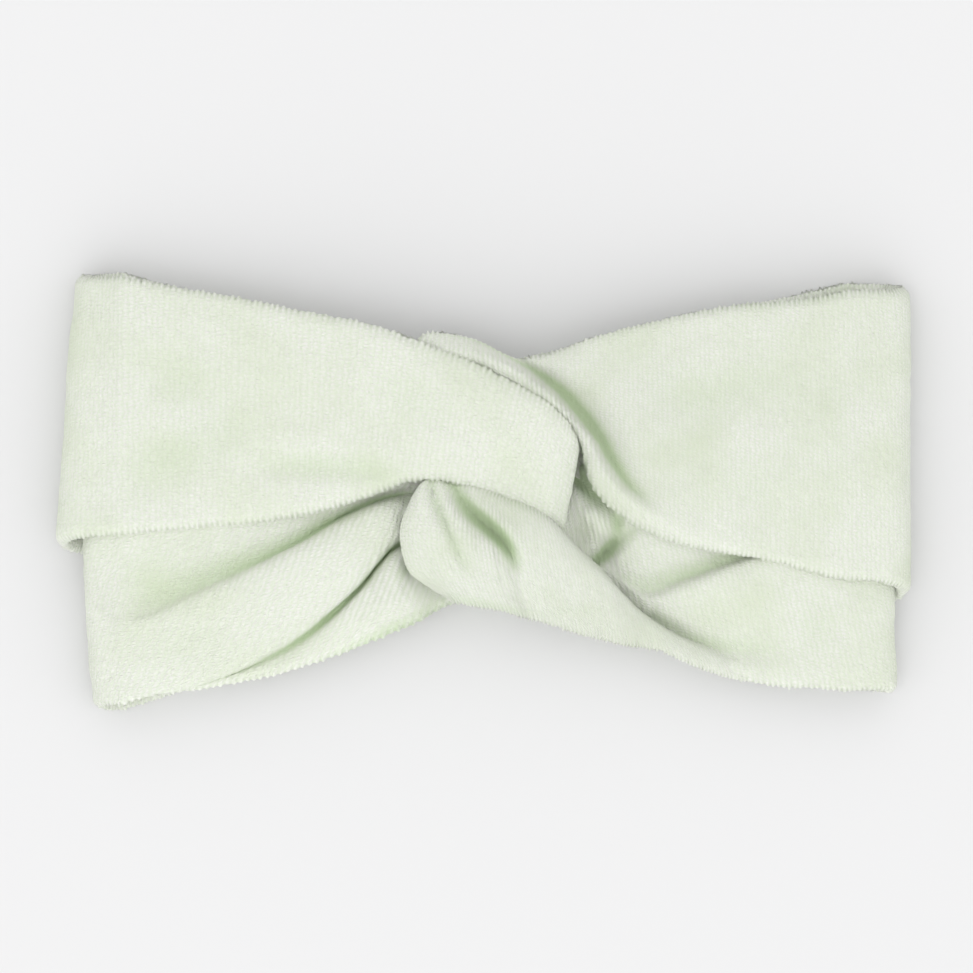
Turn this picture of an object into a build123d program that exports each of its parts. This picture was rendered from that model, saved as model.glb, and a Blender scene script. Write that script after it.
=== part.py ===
from build123d import *
import os

# Knotted terry headband, lying flat. Two soft tubes, each folded to a loop, are hooked
# through each other at the front knot, and their four ends are sewn at the back seam.
# Millimetres. +X runs along the band, +Y to its upper edge, +Z up out of the knot.
# The origin is under the middle of the knot, on the surface that the band rests on.

# Driving dimensions
SIDE_FOLD_X = 94.0  # middle of the knot to the folded side of the upper arms
NESTED_FOLD_X = 90.4  # the lower arms' folds lie inside those of the upper arms
KNOT_X = 28.0  # half width of the knot, where its bends are
SEAM_X = 4.0  # half width of the back seam, where its bends are
BODY_GAP = 0.3  # clear space between two pieces that move apart
CLOTH_PAIR = 3.4  # thickness of one flattened tube

# Heights of the layers
BEND_Z = 7.2  # the plane of all the bends, between the front and back of the band
BACK_TOP = BEND_Z - 0.2
FRONT_BOTTOM = BEND_Z + BODY_GAP
FRONT_LOWER_TOP = FRONT_BOTTOM + CLOTH_PAIR
FRONT_UPPER_TOP = FRONT_LOWER_TOP + CLOTH_PAIR + 0.6
PLEATS_TOP = 15.2  # gathered folds of a lower arm beside the knot
ARM_CROWN = 19.0  # an upper arm where it climbs to the knot
UNDER_TOP = 14.4  # the legs that pass underneath inside the knot
KNOT_TOP = 23.0
STRAND_BOTTOM = 15.0
STRAND_TOP = 21.0
OVER_BOTTOM = 15.6

# Seam tapes: the sewn allowance inside each tube
TAPE_WIDTH = 6.0
TAPE_THICKNESS = 0.8
TAPE_LIFT = 0.9  # from the arm's underside
TAPE_CLEAR = 6.0  # from the end of an arm
KNOT_TAPE_START = 46.0  # the front arms' tapes start here, past the arms' climb to the knot
NESTED_TAPE_END = 66.0  # the lower arms' tapes stop here, where the tubes press together at the fold

# Back seam: the band is gathered narrower here, so it stays hidden behind the knot
SEAM_LOW = -23.5
SEAM_HIGH = 28.0
RIDGE_TOP = 6.2
STITCH_LENGTH = 3.2
STITCH_PITCH = 4.4
STITCH_WIDTH = 0.7
STITCH_HEIGHT = 0.6
STITCH_ROW_X = 1.9
STITCHES = 11
RIDGE_CHAMFER = 0.8

SIDE_REACH = 70.0


def plan_prism(points, low, high):
    """An outline seen from above, between two heights."""
    face = make_face(Polyline(*points, close=True))
    return extrude(Plane.XY.offset(low) * face, amount=high - low)


def side_prism(points):
    """An outline seen from the front, as x and z, through the whole width."""
    face = make_face(Polyline(*points, close=True))
    return extrude(Plane.XZ * face, amount=SIDE_REACH, both=True)


def block(x, y, z):
    """A box between two corners, each pair given as low and high."""
    points = [(x[0], y[0]), (x[1], y[0]), (x[1], y[1]), (x[0], y[1])]
    return plan_prism(points, z[0], z[1])


def rising(side, outer, low, outer_high, knot_high):
    """Side outline of a front arm that climbs from its side fold to the knot."""
    start = KNOT_X + BODY_GAP
    soft = 1.6
    points = [
        (outer, low),
        (outer, outer_high - soft),
        (outer - soft, outer_high),
        (0.5 * (outer + start), outer_high + 0.35 * (knot_high - outer_high)),
        (start, knot_high),
        (start, low),
    ]
    return side_prism([(side * x, z) for x, z in points])


def mirrored(points):
    return [(-x, y) for x, y in points]


def tape_box(x, y, z):
    half = TAPE_WIDTH / 2
    low = z + TAPE_LIFT
    return block(x, (y - half, y + half), (low, low + TAPE_THICKNESS))


# Outlines seen from above
LEFT_UPPER = [
    (-89.0, 48.0), (-73.0, 47.7), (-59.0, 44.2), (-40.0, 40.9), (-28.3, 38.2),
    (-28.3, -2.4), (-40.0, -5.3), (-53.5, -6.8), (-88.0, -9.7), (-93.2, -12.6), (-94.0, -11.0),
]
LEFT_LOWER = [
    (-90.4, 11.0), (-60.0, 8.0), (-28.3, -1.0), (-28.3, -34.6),
    (-40.3, -38.9), (-55.7, -42.5), (-65.6, -43.6), (-77.7, -48.0), (-85.4, -48.0), (-88.2, -40.0),
]
LEFT_PLEATS = [
    (-82.0, -16.0), (-53.5, -10.5), (-40.0, -9.0), (-28.3, -5.6), (-28.3, -33.6),
    (-40.3, -37.9), (-55.7, -41.5), (-80.0, -44.0),
]
RIGHT_UPPER = [
    (94.0, 45.4), (92.6, 46.9), (85.0, 46.2), (78.5, 44.7), (56.5, 40.9), (28.3, 34.9),
    (28.3, -3.6), (36.7, -8.6), (45.5, -11.9), (60.9, -14.5), (80.7, -18.5), (93.0, -24.2), (94.0, -22.5),
]
RIGHT_LOWER = [
    (90.4, 10.0), (60.0, 6.0), (28.3, -5.0), (28.3, -33.6),
    (37.8, -34.5), (47.7, -38.9), (60.9, -42.5), (76.3, -43.8), (90.4, -44.4),
]
RIGHT_STRAND_TAIL = [
    (28.3, -17.5), (34.5, -24.6), (44.0, -31.0), (60.0, -37.5), (60.0, -42.0),
    (47.7, -38.4), (37.8, -34.1), (28.3, -33.2),
]
LEFT_OVER = [
    (-28.0, 38.0), (-12.0, 34.3), (-3.0, 29.9), (8.0, 23.3), (17.0, 16.7), (21.0, 11.2),
    (21.3, 5.7), (19.0, -2.0), (17.4, -6.4), (3.7, 0.2), (-3.0, 1.8), (-14.0, 2.2), (-28.0, -2.2),
]
LEFT_UNDER = [
    (-28.0, -6.0), (18.0, -6.0), (17.0, -16.0), (8.0, -24.0), (-8.0, -26.0), (-18.0, -30.0), (-28.0, -34.3),
]
RIGHT_UNDER = [
    (28.0, 34.8), (8.6, 29.3), (-4.0, 35.0), (-14.0, 34.8), (-18.0, 28.0), (-18.0, 4.5),
    (8.0, 4.5), (20.0, 3.6), (28.0, -3.2),
]
RIGHT_OVER = [
    (-14.0, 1.1), (-18.3, -8.6), (-16.0, -17.4), (-9.5, -23.0), (8.0, -27.7), (17.0, -30.6),
    (28.0, -33.4), (28.0, -17.2), (17.0, -8.1), (8.0, -3.6), (-0.7, -0.9),
]
LEFT_UPPER_BACK = [(-94.0, 45.6), (-92.0, 48.0), (-4.3, SEAM_HIGH), (-4.3, SEAM_LOW), (-94.0, -12.0)]
LEFT_LOWER_BACK = [(-90.4, 11.0), (-4.3, SEAM_HIGH), (-4.3, SEAM_LOW), (-88.0, -47.0), (-90.4, -44.0)]
RIGHT_UPPER_BACK = [(94.0, 44.0), (92.0, 46.0), (4.3, SEAM_HIGH), (4.3, SEAM_LOW), (94.0, -23.0)]
RIGHT_LOWER_BACK = [(90.4, 10.0), (4.3, SEAM_HIGH), (4.3, SEAM_LOW), (88.0, -46.0), (90.4, -43.6)]

# The y at the middle of each lengthwise seam tape
FRONT_TAPES = {"left_upper": 20.0, "left_lower": -28.0, "right_upper": 14.0, "right_lower": -24.0}
BACK_TAPES = {"left_upper": 9.0, "left_lower": -9.0, "right_upper": 8.0, "right_lower": -8.0}


def front_arm(side, outline, outer, low, outer_high, knot_high):
    prism = plan_prism(outline, low, KNOT_TOP)
    return prism & rising(side, outer, low, outer_high, knot_high)


def front_arms():
    """The four front arms, from the side folds to the knot."""
    arms = {
        "left_upper": front_arm(-1, LEFT_UPPER, SIDE_FOLD_X, FRONT_LOWER_TOP, FRONT_UPPER_TOP, ARM_CROWN),
        "right_upper": front_arm(1, RIGHT_UPPER, SIDE_FOLD_X, FRONT_LOWER_TOP, FRONT_UPPER_TOP, ARM_CROWN),
    }
    left_lower = plan_prism(LEFT_LOWER, FRONT_BOTTOM, FRONT_LOWER_TOP)
    left_under_arm = plan_prism(LEFT_PLEATS, FRONT_BOTTOM, PLEATS_TOP)
    arms["left_lower"] = left_lower + (left_under_arm - grown(LEFT_UPPER))
    right_lower = plan_prism(RIGHT_LOWER, FRONT_BOTTOM, FRONT_LOWER_TOP)
    right_tail = plan_prism(RIGHT_STRAND_TAIL, FRONT_BOTTOM, ARM_CROWN)
    arms["right_lower"] = right_lower + (right_tail & rising(1, 60.0, FRONT_BOTTOM, PLEATS_TOP, ARM_CROWN))
    return arms


def grown(outline):
    """The space that an upper arm takes, with a little room around it."""
    face = make_face(Polyline(*outline, close=True))
    return extrude(Plane.XY.offset(FRONT_LOWER_TOP) * offset(face, 1.0), amount=KNOT_TOP)


def back_arms():
    """The four back arms, flat under the front, from the side folds to the back seam."""
    middle = BACK_TOP - CLOTH_PAIR
    return {
        "left_upper": plan_prism(LEFT_UPPER_BACK, 0, middle),
        "left_lower": plan_prism(LEFT_LOWER_BACK, middle, BACK_TOP),
        "right_upper": plan_prism(RIGHT_UPPER_BACK, 0, middle),
        "right_lower": plan_prism(RIGHT_LOWER_BACK, middle, BACK_TOP),
    }


def left_turn():
    """The left tube's hook: over the right tube, round, and back underneath it."""
    over = plan_prism(LEFT_OVER, OVER_BOTTOM, KNOT_TOP)
    under = plan_prism(LEFT_UNDER, FRONT_BOTTOM, UNDER_TOP)
    landing = block((9.0, 18.0), (-7.0, 1.5), (FRONT_BOTTOM, UNDER_TOP))
    riser = block((9.0, 18.0), (-1.5, 1.5), (UNDER_TOP, OVER_BOTTOM))
    return over + under + landing + riser


def right_turn():
    """The right tube's hook: under the left tube, round, and out over its lower leg."""
    under = plan_prism(RIGHT_UNDER, FRONT_BOTTOM, UNDER_TOP)
    over = plan_prism(RIGHT_OVER, STRAND_BOTTOM, STRAND_TOP)
    landing = block((-16.0, -7.0), (-5.0, 5.0), (FRONT_BOTTOM, UNDER_TOP))
    riser = block((-16.0, -7.0), (-5.0, -0.5), (UNDER_TOP, STRAND_BOTTOM))
    return under + over + landing + riser


def seam_stitches():
    """Two rows of machine stitches along the back seam, one solid for each stitch."""
    stitches = []
    first = (SEAM_LOW + SEAM_HIGH) / 2 - (STITCHES - 1) / 2 * STITCH_PITCH
    for row in (-STITCH_ROW_X, STITCH_ROW_X):
        for i in range(STITCHES):
            y = first + i * STITCH_PITCH
            x_band = (row - STITCH_WIDTH / 2, row + STITCH_WIDTH / 2)
            y_band = (y - STITCH_LENGTH / 2, y + STITCH_LENGTH / 2)
            stitches.append(block(x_band, y_band, (RIDGE_TOP, RIDGE_TOP + STITCH_HEIGHT)))
    return Compound(children=[s.solid() for s in stitches])


def seam_ridge():
    """The sewn ends of all four arms, pressed to one ridge across the band."""
    half = SEAM_X - BODY_GAP
    shoulder = RIDGE_TOP - RIDGE_CHAMFER
    crest = half - RIDGE_CHAMFER
    right = [(half, 0), (half, shoulder), (crest, RIDGE_TOP)]
    seam = block((-half, half), (SEAM_LOW, SEAM_HIGH), (0, RIDGE_TOP))
    return side_prism(right + mirrored(reversed(right))) & seam


def with_tape(arm, arm_name, inner_x, outer_x, y):
    """Splits an arm into the tube and the seam tape that lies in a channel inside it."""
    side = -1 if arm_name.startswith("left") else 1
    low = arm.bounding_box().min.Z
    ends = sorted((side * inner_x, side * outer_x))
    through = sorted((side * inner_x, side * SIDE_REACH * 2))
    return arm - tape_box(through, y, low), tape_box(ends, y, low)


def tape_end(name):
    return SIDE_FOLD_X - TAPE_CLEAR if "upper" in name else NESTED_TAPE_END


def main():
    parts = {}
    for name, arm in front_arms().items():
        tube, tape = with_tape(arm, name, KNOT_TAPE_START, tape_end(name), FRONT_TAPES[name])
        parts[f"{name}_arm_front"] = tube
        parts[f"{name}_seam_front"] = tape
    for name, arm in back_arms().items():
        tube, tape = with_tape(arm, name, SEAM_X + TAPE_CLEAR, tape_end(name), BACK_TAPES[name])
        parts[f"{name}_arm_back"] = tube
        parts[f"{name}_seam_back"] = tape
    parts["left_loop_turn"] = left_turn()
    parts["right_loop_turn"] = right_turn()
    parts["back_seam_ridge"] = seam_ridge()
    parts["back_seam_stitches"] = seam_stitches()

    os.makedirs("parts", exist_ok=True)
    for name, shape in parts.items():
        export_step(shape, f"parts/{name}.step")


main()
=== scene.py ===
import math

import bmesh
import bpy
import numpy as np
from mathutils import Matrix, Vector


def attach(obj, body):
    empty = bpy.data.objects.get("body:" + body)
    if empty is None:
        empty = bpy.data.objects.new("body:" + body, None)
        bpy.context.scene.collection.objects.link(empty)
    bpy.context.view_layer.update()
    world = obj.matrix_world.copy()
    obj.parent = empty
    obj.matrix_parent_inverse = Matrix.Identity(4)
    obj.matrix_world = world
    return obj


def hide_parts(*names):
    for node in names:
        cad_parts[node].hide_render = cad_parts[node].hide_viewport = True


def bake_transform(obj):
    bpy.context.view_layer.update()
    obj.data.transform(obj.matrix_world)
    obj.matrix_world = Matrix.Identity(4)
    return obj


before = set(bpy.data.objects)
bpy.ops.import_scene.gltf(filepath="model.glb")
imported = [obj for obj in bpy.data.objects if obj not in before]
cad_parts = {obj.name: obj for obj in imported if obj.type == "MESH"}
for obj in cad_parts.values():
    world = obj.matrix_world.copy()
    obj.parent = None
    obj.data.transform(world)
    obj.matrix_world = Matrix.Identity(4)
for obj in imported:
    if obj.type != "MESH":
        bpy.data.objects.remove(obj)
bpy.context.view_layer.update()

# Sizes are in millimetres until a mesh is made.
MM = 0.001
CUT = 80.0  # an arm's front, fold and back pieces meet at this x
SEAM_END = {-1: -3.4, 1: 1.2}  # the x where each side's back arms end, inside the seam ridge
CLOTH = 3.5  # thickness of a flattened tube
TIGHT = 2.3  # thickness of the nested tube in its tight side fold
WALE = 1.01  # pitch of the terry's wales when it isn't stretched
ROWS_PER_WALE = 4
COLUMN = 0.62  # spacing of the mesh across an arm
REST_GAP = 0.02  # the cloth's lowest height over the face it rests on
SEAM_LOW, SEAM_HIGH = -23.5, 28.0  # the back seam's ends
TURN_GAP = 0.2  # least length between the cut and where a side fold turns
BACK_GAP = 0.2  # the upper arms' backs lie this high over the table
BACK_LIFT = 3.3  # the lower arms' backs lie on the upper arms', this much higher
LAYER_GAP = 1.8  # least distance from an arm's outer skin to its inner skin


# ---------------------------------------------------------------- curves and surfaces

def through(points, where):
    """Centripetal Catmull-Rom through points along their first axis, at the index values in where."""
    p = np.asarray(points, float)
    p = np.concatenate([2 * p[:1] - p[1:2], p, 2 * p[-1:] - p[-2:-1]])
    gaps = np.sqrt(np.linalg.norm(np.diff(p, axis=0), axis=-1) + 1e-4)
    where = np.clip(np.asarray(where, float), 0, len(p) - 3 - 1e-9)
    i = where.astype(int)
    share = (where - i).reshape((-1,) + (1,) * (p.ndim - 2))
    a, b, c, d = p[i], p[i + 1], p[i + 2], p[i + 3]
    t0 = np.zeros(gaps[i].shape)
    t1 = gaps[i]
    t2 = t1 + gaps[i + 1]
    t3 = t2 + gaps[i + 2]
    t = t1 + share * (t2 - t1)

    def mix(u, v, low, high):
        return ((high - t) / (high - low))[..., None] * u + ((t - low) / (high - low))[..., None] * v

    ab, bc, cd = mix(a, b, t0, t1), mix(b, c, t1, t2), mix(c, d, t2, t3)
    return mix(mix(ab, bc, t0, t2), mix(bc, cd, t1, t3), t1, t2)


def even_rows(rails, spacing):
    """Index values that put rows about spacing apart, measured on the mean rail."""
    count = len(rails[0])
    fine = np.linspace(0, count - 1, 40 * (count - 1) + 1)
    line = through(np.mean(np.asarray(rails, float), axis=0), fine)
    run = np.concatenate([[0], np.cumsum(np.linalg.norm(np.diff(line, axis=0), axis=1))])
    rows = int(round(run[-1] / spacing))
    return np.interp(np.linspace(0, run[-1], rows + 1), run, fine)


def skin(rails, rows):
    """A surface through the rails: rows along them, columns across them."""
    lines = through(np.asarray(rails, float).transpose(1, 0, 2), rows)
    across = lines.transpose(1, 0, 2)
    lengths = np.linalg.norm(np.diff(across, axis=0), axis=2).mean(axis=1)
    where = [0.0]
    for k, length in enumerate(lengths):
        steps = max(3, int(round(length / COLUMN)))
        where.extend(k + (j + 1) / steps for j in range(steps))
    return through(across, np.array(where)).transpose(1, 0, 2)


def smooth_rows(values, times):
    for _ in range(times):
        padded = np.concatenate([values[:1], values, values[-1:]])
        values = (padded[:-2] + 2 * values + padded[2:]) / 4
    return values


def unit(v):
    return v / (np.linalg.norm(v, axis=-1, keepdims=True) + 1e-12)


def rounded(distance, radius):
    near = np.clip(distance / radius, 0, 1)
    return np.sqrt(np.clip(1 - (1 - near) ** 2, 0, 1))


def ease(t):
    t = np.clip(t, 0, 1)
    return t * t * (3 - 2 * t)


def noise(x, y, seed):
    """Smooth seeded value noise in [-1, 1]."""
    table = np.random.default_rng(seed).uniform(-1, 1, (64, 64))
    xi, yi = np.floor(x).astype(int), np.floor(y).astype(int)
    fx, fy = ease(x - xi), ease(y - yi)
    low = table[xi % 64, yi % 64] * (1 - fx) + table[(xi + 1) % 64, yi % 64] * fx
    high = table[xi % 64, (yi + 1) % 64] * (1 - fx) + table[(xi + 1) % 64, (yi + 1) % 64] * fx
    return low * (1 - fy) + high * fy


# ---------------------------------------------------------------- folds and creases

def stroke(grid, path, depth, width, lip):
    """The height change along a creased line: a groove, and on its left, as the path runs, a raised lip.
    depth is given at even steps along the path. Also returns how deep in the groove each point is, which is
    painted as shade."""
    line = through(path, np.linspace(0, len(path) - 1, 12 * (len(path) - 1) + 1))
    best = np.full(grid.shape[:2], 1e9)
    signed = np.zeros(grid.shape[:2])
    along = np.zeros(grid.shape[:2])
    x, y = grid[..., 0], grid[..., 1]
    for i in range(len(line) - 1):
        a, d = line[i], line[i + 1] - line[i]
        t = np.clip(((x - a[0]) * d[0] + (y - a[1]) * d[1]) / (d @ d + 1e-9), 0, 1)
        dx, dy = x - a[0] - t * d[0], y - a[1] - t * d[1]
        dist = dx * dx + dy * dy
        near = dist < best
        best = np.where(near, dist, best)
        signed = np.where(near, d[0] * dy - d[1] * dx, signed)
        along = np.where(near, (i + t) / (len(line) - 1), along)
    dist = np.sqrt(best)
    deep = np.interp(along, np.linspace(0, 1, len(depth)), depth)
    groove = deep * np.exp(-((dist / width) ** 2))
    raised = lip * deep * rounded(dist, 1.5) * np.exp(-(dist / (2.6 * width)) ** 1.5) * (signed > 0)
    return raised - groove, groove


# ---------------------------------------------------------------- arms

def side_fold(outer, side, fold_x, back_y, back_z):
    """The outer skin's rows after its front: out to the side fold and round it to x = CUT, then the
    rows along the underside to the back seam."""
    columns = outer.shape[1]
    share = np.linspace(0, 1, columns)
    start = outer[-1]
    end_y = back_y[0] + (back_y[1] - back_y[0]) * share
    end_z = back_z(np.full(columns, CUT), end_y)
    height = (start[:, 2] - end_z) / 2
    tip = fold_x[0] + (fold_x[1] - fold_x[0]) * share
    reach = np.minimum(height, tip - CUT - TURN_GAP)
    turn_x = tip - reach
    out = turn_x - CUT
    arc = np.pi * np.sqrt((reach ** 2 + height ** 2) / 2)
    length = out * 2 + arc
    steps = int(round(length.mean() / (WALE / ROWS_PER_WALE)))
    run = np.linspace(0, 1, steps + 1)[1:, None] * length
    angle = np.clip((run - out) / arc, 0, 1) * np.pi
    x = np.where(run < out, CUT + run, turn_x + reach * np.sin(angle))
    x = np.where(run > out + arc, turn_x - (run - out - arc), x)
    z = end_z + height * (1 + np.cos(angle))
    y = start[:, 1] + (end_y - start[:, 1]) * ease(run / length)
    fold = np.stack([side * x, y, z], axis=2)
    seam_x = side * SEAM_END[side]
    far = int(round((CUT - seam_x) / (WALE / ROWS_PER_WALE)))
    t = np.linspace(0, 1, far + 1)[1:, None]
    back_x = CUT + (seam_x - CUT) * t + 0 * share
    seam_y = SEAM_HIGH - 0.3 + (SEAM_LOW - SEAM_HIGH + 0.6) * share
    along_y = end_y + (seam_y - end_y) * t
    back = np.stack([side * back_x, along_y, back_z(back_x, along_y)], axis=2)
    return fold, back


def relief(z):
    """How far each point stands above the cloth around it."""
    return z - smooth_rows(smooth_rows(z, 90).T, 45).T


def lowest(outer, base, up, share):
    """How high the outer skin is above the inner skin's base, at its lowest near each of its columns."""
    across = base[:, -1] - base[:, 0]
    offset = outer - base[:, :1]
    t = (offset * across[:, None]).sum(axis=2) / (across ** 2).sum(axis=1)[:, None]
    nearest = np.clip(np.searchsorted(share, t), 0, len(share) - 1)
    rows = np.arange(len(outer))[:, None]
    height = ((outer - base[rows, nearest]) * up[rows, nearest]).sum(axis=2)
    close = np.abs(t[:, None, :] - share[None, :, None]) < 0.05
    return np.where(close, height[:, None, :], 9.0).min(axis=2)


def close_tube(outer, crease_shade, thick, upright, inner_columns, follow=0.0):
    """Gives an outer skin its inner skin, and rounds the two folded edges between them. upright is a
    row whose outer skin faces up. Where follow is 1 the inner skin follows the outer one, and where it
    is 0 it lies flat between the two edges, under any pleats."""
    share = 0.5 - 0.5 * np.cos(np.pi * np.linspace(0, 1, inner_columns))
    base = outer[:, :1] * (1 - share)[:, None] + outer[:, -1:] * share[:, None]
    same = through(outer.transpose(1, 0, 2), share * (outer.shape[1] - 1)).transpose(1, 0, 2)
    base = base + (same - base) * np.asarray(follow)
    up = unit(np.cross(np.gradient(smooth_rows(base, 30), axis=0), base[:, -1:] - base[:, :1]))
    if up[upright, 0, 2] < 0:
        up = -up
    run = np.linalg.norm(np.diff(outer, axis=1), axis=2)
    from_top = np.concatenate([np.zeros((len(outer), 1)), np.cumsum(run, axis=1)], axis=1)
    total = from_top[:, -1:]
    radius = 0.62 * thick[:, None]
    edge = 1 - rounded(np.minimum(from_top, total - from_top), radius)
    width = np.linalg.norm(base[:, -1] - base[:, 0], axis=1)[:, None]
    edge_inner = 1 - rounded(np.minimum(share, 1 - share) * width, radius)
    nearest = np.round(np.linspace(0, inner_columns - 1, outer.shape[1])).astype(int)
    depth = np.maximum(thick[:, None] * (1 - 0.5 * edge_inner), LAYER_GAP - lowest(outer, base, up, share))
    inner = base - up * depth[..., None]
    outer = outer - up[:, nearest] * (0.5 * thick[:, None] * edge)[..., None]
    ring = np.concatenate([outer, inner[:, -2:0:-1]], axis=1)
    count = ring.shape[1] - outer.shape[1]
    return {"ring": ring, "upright": upright, "skin": outer.shape[1],
            "across": np.concatenate([from_top, total + width * share[1:-1]], axis=1),
            "hem": np.concatenate([edge, edge_inner[:, -2:0:-1]], axis=1),
            "crease_shade": np.concatenate([crease_shade, np.zeros((len(crease_shade), count))], axis=1)}


def arm(side, rails, thickness, fold_x, back_y, back_z, pitch, tilt=None, strokes=(), tight=CLOTH):
    """One arm of a loop as one closed tube, from the knot round its side fold to the back seam.
    rails are its outer skin's lines up to x = CUT, thickness the tube's at each station."""
    rows = even_rows(rails, pitch / ROWS_PER_WALE)
    front = skin(rails, rows)
    # The darkening marked here is painted shade: the depth of each stroke's groove, and the hollows below
    # the cloth around them, make the colour darker and greener.
    crease_shade = np.zeros(front.shape[:2])
    for path, depth, width, lip in strokes:
        change, mark = stroke(front, path, depth, width, lip)
        front[..., 2] += change
        crease_shade = np.maximum(crease_shade, mark)
    high = relief(front[..., 2])
    crease_shade = np.maximum(crease_shade, np.clip(-1.9 * high - 0.3, 0, 4))
    ridge = np.clip(0.5 * high - 0.2, 0, 0.5)
    fold, back = side_fold(front, side, fold_x, back_y, back_z)
    thick_front = through(np.asarray(thickness, float)[:, None], rows)[:, 0]
    toward = ease((np.abs(front[:, :, 0].mean(axis=1)) - (CUT - 14)) / 12)
    thick_front = thick_front + (tight - thick_front) * toward
    away = ease((CUT - 1 - np.abs(back[:, 0, 0])) / 12)
    pressed = 1 - 0.42 * ease((6.0 - np.abs(back[:, 0, 0])) / 3)
    thick_back = (tight + (CLOTH - tight) * away) * pressed
    thick = np.concatenate([thick_front, np.full(len(fold), tight), thick_back])
    crease_shade = np.concatenate([crease_shade, np.zeros((len(fold) + len(back), crease_shade.shape[1]))])
    follow = np.concatenate([np.zeros(len(front)), ease(np.linspace(0, 1, len(fold))), np.ones(len(back))])
    outer = np.concatenate([front, fold, back])
    a = close_tube(outer, crease_shade, thick, len(front) - 12, 46, follow[:, None, None])
    ring = a["ring"]
    # Raised ridges get the folded edge's taller ribs, and its painted highlight and shade on their crests
    # and grooves.
    opened = a["hem"][:len(front), :a["skin"]]
    opened[:] = np.maximum(opened, ridge)
    count = np.arange(len(ring), dtype=float)[:, None] / ROWS_PER_WALE
    a["wales"] = count + 0 * a["across"]
    if tilt is not None:
        after = (count[len(front):] - count[len(front) - 1]) * pitch
        at_cut = np.abs(ring[len(front) - 1, :, 0])
        reach = np.concatenate([np.abs(ring[:len(front), :, 0]), at_cut + after])
        a["wales"] = (reach * math.cos(tilt) + ring[..., 1] * math.sin(tilt)) / pitch
    a["cuts"] = (0, len(front) - 1, len(front) + len(fold) - 1, len(ring) - 1)
    return a


def finish_surface(a, seed):
    """Adds the ribs of the terry and its small unevenness to an arm, along its normals."""
    ring = a["ring"]
    across = np.roll(ring, -1, axis=1) - np.roll(ring, 1, axis=1)
    n = unit(np.cross(across, np.gradient(ring, axis=0)))
    a["flip"] = bool(n[a["upright"], a["skin"] // 2, 2] < 0)
    if a["flip"]:
        n = -n
    w, v = a["wales"], a["across"]
    rib = 0.5 + 0.5 * np.cos(2 * np.pi * (w + 0.12 * noise(w / 3, v / 2.2, seed + 1)))
    uneven = 1 + 0.7 * noise(w * 0.9, v / 3.0, seed) + 0.25 * noise(w * 0.31, v / 5.0, seed + 5)
    height = (0.05 + 0.34 * a["hem"]) * uneven
    soft = 0.26 * noise(w / 9, v / 7, seed + 2) + 0.11 * noise(w / 3.1, v / 3, seed + 3)
    fuzz = 0.05 * noise(w * 2.1, v * 1.6, seed + 4) * (1 + 3.5 * a["hem"])
    a["ring"] = ring + n * (height * rib + soft + fuzz)[..., None]
    a["ring"][..., 2] = np.maximum(a["ring"][..., 2], REST_GAP)
    return a


def tube_mesh(name, a, first, last):
    """A piece of an arm between two rows, as an open-ended tube."""
    ring = a["ring"][first:last + 1] * MM
    rows, columns = ring.shape[:2]
    i = np.arange(rows - 1)[:, None] * columns
    j = np.arange(columns)[None, :]
    k = (j + 1) % columns
    quads = np.stack([i + j, i + k, i + columns + k, i + columns + j], axis=2).reshape(-1, 4)
    if a["flip"]:
        quads = quads[:, ::-1]
    return grid_object(name, ring.reshape(-1, 3), quads,
                       {"wales": a["wales"][first:last + 1], "across": a["across"][first:last + 1],
                        "crease_shade": a["crease_shade"][first:last + 1], "hem": a["hem"][first:last + 1]})


def grid_object(name, vertices, quads, marks):
    mesh = bpy.data.meshes.new(name)
    mesh.vertices.add(len(vertices))
    mesh.vertices.foreach_set("co", vertices.astype(np.float32).ravel())
    mesh.loops.add(quads.size)
    mesh.loops.foreach_set("vertex_index", quads.astype(np.int32).ravel())
    mesh.polygons.add(len(quads))
    mesh.polygons.foreach_set("loop_start", np.arange(0, quads.size, 4, dtype=np.int32))
    mesh.polygons.foreach_set("use_smooth", np.ones(len(quads), bool))
    mesh.update(calc_edges=True)
    for key, values in marks.items():
        layer = mesh.attributes.new(key, "FLOAT", "POINT")
        layer.data.foreach_set("value", np.asarray(values, np.float32).ravel())
    thing = bpy.data.objects.new(name, mesh)
    bpy.context.scene.collection.objects.link(thing)
    return thing


# ---------------------------------------------------------------- the four arms

def matched(*stations):
    """Rails from stations: each station lists its points from the top edge to the bottom edge."""
    return np.asarray(stations, float).transpose(1, 0, 2)


def crowned(tops, bottoms, crowns):
    """Rails of a plain stretch of tube: two edges and three lines between them, raised to a crown."""
    t, b = np.asarray(tops, float), np.asarray(bottoms, float)
    rails = []
    for share in (0, 0.22, 0.5, 0.78, 1):
        line = t * (1 - share) + b * share
        line[:, 2] += np.asarray(crowns) * 4 * share * (1 - share)
        rails.append(line)
    return np.array(rails)


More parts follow.
